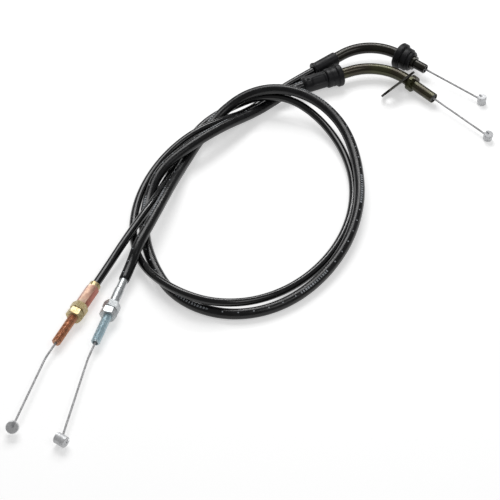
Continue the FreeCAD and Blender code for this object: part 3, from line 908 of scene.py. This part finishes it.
@dataclass
class StrandedWire:
    """An exposed steel wire: a core with one layer of strands laid round it."""

    cable: str
    end: str
    points: Sequence[Vector]
    radius: float = 0.75 * MM
    strands: int = 7
    lay: float = 9.0 * MM
    core_overlap: float = 0.6
    sides: int = 7
    step: float = 0.7 * MM
    resolution: int = 24

    def build(self) -> None:
        """Lay the strands round the wire's line and join them into one piece."""
        name = f"{self.cable}_{self.end}"
        line = Line(self._even(spline_points(self.points, self.resolution)))
        share = math.sin(math.pi / self.strands)
        strand = self.radius * share / (1.0 + share)
        centre = self.radius - strand
        parts = [self._strand(line, 0.0, centre - strand * self.core_overlap, 0.0)]
        for k in range(self.strands):
            parts.append(self._strand(line, centre, strand, math.tau * k / self.strands))
        bpy.ops.object.select_all(action="DESELECT")
        for part in parts:
            part.select_set(True)
        bpy.context.view_layer.objects.active = parts[0]
        bpy.ops.object.join()
        wire = bpy.context.object
        wire.name = name + "_strand"
        Workpiece(wire).dress(STRAND, "strand_steel", name + "_end", (name + "_wire",),
                              smooth=60.0)

    def _even(self, points: List[Vector]) -> List[Vector]:
        """Respace a line's points to the wire's step.

        Args:
            points: The uneven points.

        Returns:
            The evenly spaced points.
        """
        line = Line(points)
        count = max(2, round(line.length / self.step))
        even, index = [], 0
        for k in range(count + 1):
            run = line.length * k / count
            while index < len(line.runs) - 2 and line.runs[index + 1] < run:
                index += 1
            span = line.runs[index + 1] - line.runs[index]
            share = (run - line.runs[index]) / span if span else 0.0
            even.append(line.points[index].lerp(line.points[index + 1], share))
        return even

    def _strand(self, line: Line, centre: float, radius: float, start: float) -> Piece:
        """Loft one strand, whose centre winds round the line.

        Args:
            line: The wire's line.
            centre: Distance of the strand from it.
            radius: The strand's radius.
            start: Its angle at the line's start, in radians.

        Returns:
            The strand.
        """
        rings = []
        for index, run in enumerate(line.runs):
            turn = start + math.tau * run / self.lay
            middle = line.offset(index, centre, turn)
            shift = middle - line.points[index]
            rings.append([line.offset(index, radius, -math.tau * k / self.sides) + shift
                          for k in range(self.sides)])
        return lofted("strand", rings)


# --- fittings

@dataclass(frozen=True)
class Station:
    """A fitting's frame: an origin and the heading of its axis."""

    origin: Vector
    heading: Vector

    @classmethod
    def between(cls, before: Point, end: Point) -> "Station":
        """Make the frame at a run's end, heading out of it."""
        return cls(Vector(end), (Vector(end) - Vector(before)).normalized())

    def at(self, distance: float) -> Vector:
        """Give the point a distance in millimetres along the axis."""
        return self.origin + self.heading * distance * MM


@dataclass
class Thread:
    """An M6 thread of 1 mm pitch, chamfered and bored at its tip."""

    pitch: float = 1.0
    crest: float = 2.98
    root: float = 2.42
    tip_cut: float = 0.58
    root_half: float = 0.12
    crest_half: float = 0.06
    steps: int = 36
    bore_depth: float = 6.0
    bore_sides: int = 48
    level: float = 2e-6
    cut_tolerance: float = 1e-7

    def build(self, name: str, start: float, end: float, mouth: float) -> Workpiece:
        """Wind the thread between two stations and bore its tip.

        Args:
            name: The piece's name.
            start: Station of its first turn, in millimetres.
            end: Station of its tip.
            mouth: Radius of the bore at the tip.

        Returns:
            The workpiece, along +Z.
        """
        work = Workpiece.start(name)
        low = start - self.pitch
        work.draw([(radius, low + share * self.pitch) for radius, share in (
            (self.root, 0.0), (self.root, self.root_half), (self.crest, 0.5 - self.crest_half),
            (self.crest, 0.5 + self.crest_half), (self.root, 1.0 - self.root_half),
            (self.root, 1.0))])
        turns = math.ceil((end - start) / self.pitch) + 2
        work.modify("SCREW", angle=math.tau, screw_offset=self.pitch * MM, iterations=turns,
                    steps=self.steps, render_steps=self.steps, axis="Z",
                    use_merge_vertices=True, merge_threshold=Workpiece.DOUBLES)
        with editing():
            self._cut(end, True)
            self._cut(start, False)
        self._taper(work, end)
        self._bore(work, start, end, mouth)
        return work

    def _cut(self, height: float, above: bool) -> None:
        """Cut the thread square at a station and clear what is beyond it.

        Args:
            height: The station.
            above: Whether what lies above it is cleared, or what lies below.
        """
        bpy.ops.mesh.select_all(action="SELECT")
        bpy.ops.mesh.remove_doubles(threshold=Workpiece.DOUBLES)
        bpy.ops.mesh.select_all(action="SELECT")
        bpy.ops.mesh.bisect(plane_co=(0, 0, height * MM), plane_no=(0, 0, 1),
                            clear_outer=above, clear_inner=not above,
                            threshold=self.cut_tolerance)

    def _taper(self, work: Workpiece, end: float) -> None:
        """Turn the last crests down to a chamfer of 45 degrees.

        Args:
            work: The thread.
            end: Station of its tip.
        """
        for vertex in work.piece.data.vertices:
            radius = math.hypot(vertex.co.x, vertex.co.y)
            most = (self.crest - self.tip_cut + max(0.0, end - vertex.co.z / MM)) * MM
            if radius > most:
                vertex.co.x *= most / radius
                vertex.co.y *= most / radius

    def _bore(self, work: Workpiece, start: float, end: float, mouth: float) -> None:
        """Close the first turn, and join the tip to a blind bore.

        Args:
            work: The thread.
            start: Station of its first turn.
            end: Station of its tip.
            mouth: Radius of the bore.
        """
        with editing():
            bpy.ops.mesh.select_mode(type="EDGE")
            self._select_rim(work, start)
            bpy.ops.mesh.edge_face_add()
            bpy.ops.mesh.select_all(action="DESELECT")
            bpy.ops.mesh.primitive_circle_add(vertices=self.bore_sides, radius=mouth * MM,
                                              location=(0, 0, (end - self.bore_depth) * MM))
            bpy.ops.mesh.edge_face_add()
            bpy.ops.mesh.extrude_region_move(
                TRANSFORM_OT_translate={"value": (0, 0, self.bore_depth * MM)})
            bpy.ops.mesh.delete(type="ONLY_FACE")
            self._select_rim(work, end)
            bpy.ops.mesh.bridge_edge_loops()
        work.weld()

    def _select_rim(self, work: Workpiece, height: float) -> None:
        """Select the open edges that lie at a station.

        Args:
            work: The piece that is open in edit mode.
            height: The station.
        """
        bpy.ops.mesh.select_all(action="DESELECT")
        bpy.ops.mesh.select_non_manifold(extend=False, use_wire=False, use_boundary=True,
                                         use_multi_face=False, use_non_contiguous=False,
                                         use_verts=False)
        bpy.ops.object.mode_set(mode="OBJECT")
        mesh = work.piece.data
        for edge in mesh.edges:
            ends = [mesh.vertices[k].co.z for k in edge.vertices]
            edge.select = edge.select and all(abs(z - height * MM) < self.level for z in ends)
        bpy.ops.object.mode_set(mode="EDIT")


@dataclass
class CarburettorEnds:
    """Adjusters, exposed wires and the fittings that hold them."""

    pull: Station
    return_end: Station
    pull_tip: float = 56.5
    pull_thread: float = 21.0
    return_tip: float = 50.1
    pull_bore: float = 1.9
    return_bore: float = 1.5
    hex_start: float = -2.5
    hex_length: float = 17.0
    hex_across: float = 8.0
    hex_roll: float = -10.0
    hex_chamfer: float = 0.6
    hex_inset: float = 0.1
    hex_edge: float = 0.12
    hex_spare: float = 0.5
    envelope_spare: float = 0.05
    envelope_sides: int = 96
    socket: float = 2.8
    socket_floor: float = -0.5
    passage: float = 1.2
    wire_hidden: float = 42.0
    wire_knee: float = 14.0
    knee_reach: float = 7.0
    wire_past: float = 1.0
    pull_nipple: Point = (-0.1263, -0.1839, 0.0049)
    return_nipple: Point = (-0.1571, -0.1742, 0.0056)

    def build(self) -> None:
        """Build both ends."""
        thread = Thread()
        adjuster = thread.build("pull_adjuster_thread", self.pull_thread, self.pull_tip,
                                self.pull_bore)
        adjuster.place(self.pull)
        adjuster.dress(BLUE_ZINC, "zinc_blue", ROOT_BODY, ("pull_adjuster",))
        hex_end = self.hex_start + self.hex_length
        shank = thread.build("return_adjuster_thread", hex_end, self.return_tip,
                             self.return_bore)
        shank.place(self.return_end)
        shank.dress(COPPER_ZINC, "zinc_copper", ROOT_BODY)
        self._hex_body(hex_end)
        self._wire("pull", self.pull, self.pull_tip, self.pull_nipple)
        self._wire("return", self.return_end, self.return_tip, self.return_nipple)

    def _hex_body(self, hex_end: float) -> None:
        """Mill the long hex body, turn its corners down and bore it for the sheath.

        Args:
            hex_end: Station where the body ends and the thread starts.
        """
        corner = self.hex_across / math.sqrt(3.0)
        rim = self.hex_across / 2.0 - self.hex_inset
        low, high = self.hex_start - self.hex_spare, hex_end + self.hex_spare
        work = Workpiece.start("return_hex_body")
        work.draw([(0.0, low), (corner, low), (corner, high), (0.0, high)])
        work.spin(6)
        envelope = Workpiece.start("return_hex_envelope")
        clear = corner + self.envelope_spare
        envelope.draw([
            (self.socket, self.hex_start), (rim, self.hex_start),
            (clear, self.hex_start + self.hex_chamfer), (clear, hex_end - self.hex_chamfer),
            (rim, hex_end), (self.passage, hex_end), (self.passage, self.socket_floor),
            (self.socket, self.socket_floor), (self.socket, self.hex_start)])
        envelope.spin(self.envelope_sides)
        work.modify("BOOLEAN", operation="INTERSECT", object=envelope.piece, solver="EXACT")
        bpy.data.objects.remove(envelope.piece)
        work.soften(self.hex_edge, segments=2, angle=20.0)
        work.place(self.return_end, self.hex_roll)
        work.dress(HEX_ZINC, "zinc_copper", ROOT_BODY, ("return_adjuster",), smooth=18.0)

    def _wire(self, cable: str, end: Station, tip: float, nipple: Point) -> None:
        """Lay one exposed wire from inside its adjuster to its nipple.

        Args:
            cable: The cable's name.
            end: The frame of its sheath's end.
            tip: Station of the adjuster's tip.
            nipple: The nipple's centre.
        """
        knee = end.at(tip + self.wire_knee)
        heading = (Vector(nipple) - knee).normalized()
        points = (end.at(tip - self.wire_hidden), end.at(tip + self.wire_knee - self.knee_reach),
                  knee, knee + heading * self.knee_reach * MM,
                  Vector(nipple) + heading * self.wire_past * MM)
        StrandedWire(cable, "carb", points).build()


@dataclass(frozen=True)
class SleeveRelief:
    """The dust sleeve's relief in millimetres: pressed dimples and raised panel borders."""

    radius: float = 6.0
    reach: Band = (-6.5, 9.6)
    dimple_turns: Tuple[float, ...] = (70.0, 112.0, 250.0, 292.0)
    dimple_station: float = -4.2
    dimple_radius: float = 1.4
    dimple_depth: float = 0.75
    panel_turns: Tuple[float, ...] = (91.0, 271.0)
    panel_station: float = 3.2
    panel_half_width: float = 3.0
    panel_half_length: float = 5.0
    border: float = 0.34

    def across(self, turn: float, middle: float) -> float:
        """Give the distance round the sleeve from one turn, in degrees, to another."""
        return self.radius * math.radians((turn - middle + 180.0) % 360.0 - 180.0)

    def height(self, turn: float, station: float) -> float:
        """Give the relief at one place.

        Args:
            turn: Angle round the sleeve in degrees.
            station: Place along it.

        Returns:
            Millimetres outwards.
        """
        if not self.reach[0] < station < self.reach[1]:
            return 0.0
        relief = 0.0
        for middle in self.dimple_turns:
            away = math.hypot(self.across(turn, middle), station - self.dimple_station)
            if away < self.dimple_radius:
                wave = math.cos(math.pi * away / self.dimple_radius)
                relief -= self.dimple_depth * (0.5 + 0.5 * wave)
        for middle in self.panel_turns:
            away = max(abs(self.across(turn, middle)) - self.panel_half_width,
                       abs(station - self.panel_station) - self.panel_half_length)
            relief += self.border * math.exp(-(away / self.border) ** 2)
        return relief


def wall(radius: float, low: float, high: float, step: float) -> Profile:
    """Give evenly spaced corners up a straight wall."""
    count = max(1, round((high - low) / step))
    return tuple((radius, low + (high - low) * k / count) for k in range(count + 1))


@dataclass(frozen=True)
class Moulding:
    """A spun rubber: its profile as radius and station, and how its surface is finished."""

    name: str
    node: str
    profile: Profile
    sides: int
    edge: float = 0.0
    relief: Optional[SleeveRelief] = None
    roll: float = 0.0

    def build(self, station: Station) -> None:
        """Spin the rubber, press its relief or round its edges, and place it.

        Args:
            station: The frame it is placed in.
        """
        work = Workpiece.start(self.name)
        work.draw(self.profile)
        work.spin(self.sides)
        if self.relief:
            work.press(self.relief.height)
        if self.edge:
            work.soften(self.edge)
        work.place(station, self.roll)
        work.dress(RUBBER, "rubber_black", ROOT_BODY, (self.node,), smooth=50.0)


DUST_SLEEVE = Moulding(
    "pull_dust_sleeve_rubber", "pull_dust_sleeve",
    ((3.62, -8.0), (4.5, -8.0), (5.2, -7.8), (5.72, -7.3), (5.95, -6.7))
    + wall(6.0, -6.2, 9.4, 0.3)
    + ((5.85, 9.85), (5.5, 10.0), (4.05, 10.0), (4.05, 0.0), (3.62, 0.0), (3.62, -8.0)),
    180, relief=SleeveRelief(), roll=35.0)
SEAT_RUBBER = Moulding(
    "pull_seat_rubber_moulding", "pull_seat_rubber",
    ((4.05, 10.0), (6.3, 10.0), (7.0, 10.6), (7.0, 13.4), (6.8, 13.7), (6.8, 14.3),
     (7.0, 14.6), (7.0, 17.7), (7.5, 18.0), (8.3, 18.4), (8.3, 21.3), (7.6, 22.0),
     (5.4, 22.0), (5.2, 21.6), (4.05, 21.6), (4.05, 10.0)),
    96, edge=0.22)
BOOT = Moulding(
    "return_boot_rubber", "return_boot",
    ((2.77, -8.0), (4.9, -8.0), (5.4, -7.6), (5.4, -6.3), (4.9, -5.9), (4.82, -4.0),
     (4.84, 0.0), (4.9, 4.0), (4.9, 11.4), (4.5, 12.0), (4.05, 12.0), (4.05, 0.0),
     (2.77, 0.0), (2.77, -8.0)),
    84, edge=0.25)
GROMMET = Moulding(
    "return_grommet_rubber", "return_grommet",
    ((4.05, -11.5), (6.5, -11.5), (7.4, -12.4), (7.4, -14.5), (8.4, -14.6),
     (8.4, -18.5), (8.15, -18.8), (8.15, -19.0), (8.85, -19.0), (9.75, -19.9),
     (9.75, -23.1), (8.85, -24.0), (6.0, -24.0), (5.7, -23.6), (4.05, -23.6),
     (4.05, -11.5)),
    96, edge=0.24)


@dataclass
class GripEnds:
    """The rubbers over the elbows, and the exposed wires of the grip end."""

    pull: Station
    return_end: Station
    pull_nose: Station
    return_nose: Station
    hidden: float = 2.5
    pull_wire: float = 52.2
    return_wire: float = 48.4
    wire_past: float = 1.0

    def build(self) -> None:
        """Build the rubbers and the wires."""
        for moulding, station in ((DUST_SLEEVE, self.pull), (SEAT_RUBBER, self.pull),
                                  (BOOT, self.return_end), (GROMMET, self.return_nose)):
            moulding.build(station)
        self._wire("pull", self.pull_nose, self.pull_wire)
        self._wire("return", self.return_nose, self.return_wire)

    def _wire(self, cable: str, nose: Station, exposed: float) -> None:
        """Lay one exposed wire from inside its elbow to its nipple."""
        points = (nose.at(-self.hidden), nose.at(exposed / 2.0), nose.at(exposed + self.wire_past))
        StrandedWire(cable, "grip", points).build()


# --- cables

@dataclass(frozen=True)
class Cable:
    """One cable: its sheath's sizes, and the station and mouth of its elbow's nose."""

    name: str
    route: Tuple[Point, ...]
    radius: float
    length: float
    finish: Finish
    slot: str
    nose_start: float
    mouth: Point

    def sheath(self) -> SheathTube:
        """Give the sheath that stands for every layer of the cable's run.

        Returns:
            The sheath, not built yet.
        """
        layers = tuple(f"{self.name}_{layer}" for layer in SHEATH_LAYERS)
        return SheathTube(f"{self.name}_sheath", self.route, self.radius, self.length,
                          self.finish, self.slot, layers)

    @property
    def grip_end(self) -> Station:
        """The frame of the sheath's grip end."""
        return Station.between(self.route[1], self.route[0])

    @property
    def carburettor_end(self) -> Station:
        """The frame of the sheath's carburettor end."""
        return Station.between(self.route[-2], self.route[-1])

    @property
    def nose(self) -> Station:
        """The frame of the elbow's mouth."""
        return Station.between(tuple(self.grip_end.at(self.nose_start)), self.mouth)


SHEATH_LAYERS = ("jacket", "conduit", "liner", "inner_wire")
PULL = Cable("pull", PULL_ROUTE, 3.6 * MM, 0.806, SATIN_SHEATH, "sheath_black_satin",
             54.8, (0.1213, 0.1337, 0.0062))
RETURN = Cable("return", RETURN_ROUTE, 2.75 * MM, 0.837, GLOSS_SHEATH, "sheath_black_gloss",
               42.9, (0.1171, 0.1634, 0.0080))


# --- carried-over pieces

KEPT_FINISHES: Dict[Finish, Tuple[str, ...]] = {
    OLIVE_ZINC: ("pull_elbow", "pull_collar"),
    DARK_ZINC: ("pull_retainer_plate", "return_elbow", "return_collar", "return_nose_bush"),
    GUIDE: ("pull_wire_guide",),
    SILVER_ZINC: ("pull_ferrule", "pull_upper_locknut", "pull_lower_locknut"),
    YELLOW_ZINC: ("return_crimp_ring", "return_upper_locknut", "return_lower_locknut"),
    NICKEL: ("pull_carb_nipple", "pull_grip_nipple", "return_carb_nipple", "return_grip_nipple"),
}


def dress_kept(nodes: Dict[str, Piece]) -> None:
    """Give each carried-over node its finish.

    Args:
        nodes: The frame's node objects by name.
    """
    for finish, names in KEPT_FINISHES.items():
        for name in names:
            for slot in nodes[name].material_slots:
                slot.material = finish.material()
            LOG.info("%s: %s", name, finish.name)


# --- studio

@dataclass(frozen=True)
class Softbox:
    """A rectangular light that faces the object: its place, its sides and its power in watts."""

    name: str
    place: Point
    sides: Tuple[float, float]
    power: float

    def hang(self) -> None:
        """Hang the light."""
        data = bpy.data.lights.new(self.name, "AREA")
        data.shape = "RECTANGLE"
        data.size, data.size_y = self.sides
        data.energy = self.power
        lamp = bpy.data.objects.new(self.name, data)
        lamp.location = self.place
        lamp.rotation_euler = (-Vector(self.place)).to_track_quat("-Z", "Y").to_euler()
        bpy.context.collection.objects.link(lamp)


@dataclass
class Studio:
    """The floor, the soft light and the camera."""

    camera_at: Point = (-0.0100, -1.0883, 1.0748)
    camera_tilt: float = 45.0
    lens: float = 163.1
    sensor: float = 36.0
    floor_size: float = 12.0
    floor_tone: float = 0.8
    lift: float = 0.48
    world_level: float = 0.24
    softboxes: Tuple[Softbox, ...] = (
        Softbox("key_softbox", (-0.15, 0.75, 1.05), (0.9, 0.6), 8.0),
        Softbox("edge_strip", (0.1, 0.95, 0.8), (0.6, 0.05), 1.8),
        Softbox("fill_softbox", (0.8, -0.5, 1.3), (0.7, 0.5), 2.5),
    )

    def build(self) -> None:
        """Build the studio."""
        self._camera()
        self._floor()
        self._world()
        for softbox in self.softboxes:
            softbox.hang()

    def _camera(self) -> None:
        """Set the camera."""
        data = bpy.data.cameras.new("view_camera")
        data.lens = self.lens
        data.sensor_width = self.sensor
        camera = bpy.data.objects.new("view_camera", data)
        camera.location = self.camera_at
        camera.rotation_euler = (math.radians(self.camera_tilt), 0.0, 0.0)
        bpy.context.collection.objects.link(camera)
        bpy.context.scene.camera = camera

    @staticmethod
    def _straight_rays(graph: Graph) -> Socket:
        """Give 1 for rays that show the background: camera, glossy and transmission rays.

        Args:
            graph: The material's graph.

        Returns:
            The share's socket.
        """
        rays = graph.node("LightPath")
        seen = graph.math("MAXIMUM", rays.outputs["Is Camera Ray"], rays.outputs["Is Glossy Ray"])
        return graph.math("MAXIMUM", seen, rays.outputs["Is Transmission Ray"])

    def _floor(self) -> None:
        """Lay the pale floor, which keeps the shadow and shows as white elsewhere."""
        bpy.ops.object.select_all(action="DESELECT")
        bpy.ops.mesh.primitive_plane_add(size=self.floor_size, location=(0.0, 0.0, 0.0))
        floor = bpy.context.object
        floor.name = "studio_floor"
        material = bpy.data.materials.new("studio_floor")
        material.use_nodes = True
        graph = Graph(material.node_tree)
        shader = material.node_tree.nodes["Principled BSDF"]
        shader.inputs["Base Color"].default_value = (self.floor_tone,) * 3 + (1.0,)
        shader.inputs["Roughness"].default_value = 1.0
        shader.inputs["Specular IOR Level"].default_value = 0.0
        shader.inputs["Emission Color"].default_value = (1.0, 1.0, 1.0, 1.0)
        strength = graph.math("MULTIPLY", self._straight_rays(graph), self.lift)
        graph.feed(shader.inputs["Emission Strength"], strength)
        floor.data.materials.append(material)

    def _world(self) -> None:
        """Light the room evenly, with a white backdrop behind the object."""
        world = bpy.data.worlds.new("studio_world")
        bpy.context.scene.world = world
        world.use_nodes = True
        graph = Graph(world.node_tree)
        background = world.node_tree.nodes["Background"]
        background.inputs["Color"].default_value = (1.0, 1.0, 1.0, 1.0)
        camera_ray = graph.node("LightPath").outputs["Is Camera Ray"]
        strength = graph.math("MULTIPLY_ADD", camera_ray, 1.0 - self.world_level,
                              self.world_level)
        graph.feed(background.inputs["Strength"], strength)


def main() -> None:
    """Build the studio and the cables around the frame."""
    for leftover in list(bpy.data.objects):
        bpy.data.objects.remove(leftover)
    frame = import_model()
    bpy.context.scene.view_settings.view_transform = "Standard"
    Studio().build()
    for cable in (PULL, RETURN):
        cable.sheath().build()
    CarburettorEnds(PULL.carburettor_end, RETURN.carburettor_end).build()
    GripEnds(PULL.grip_end, RETURN.grip_end, PULL.nose, RETURN.nose).build()
    dress_kept(frame["nodes"])


if __name__ == "__main__":
    logging.basicConfig(level=logging.INFO)
    main()
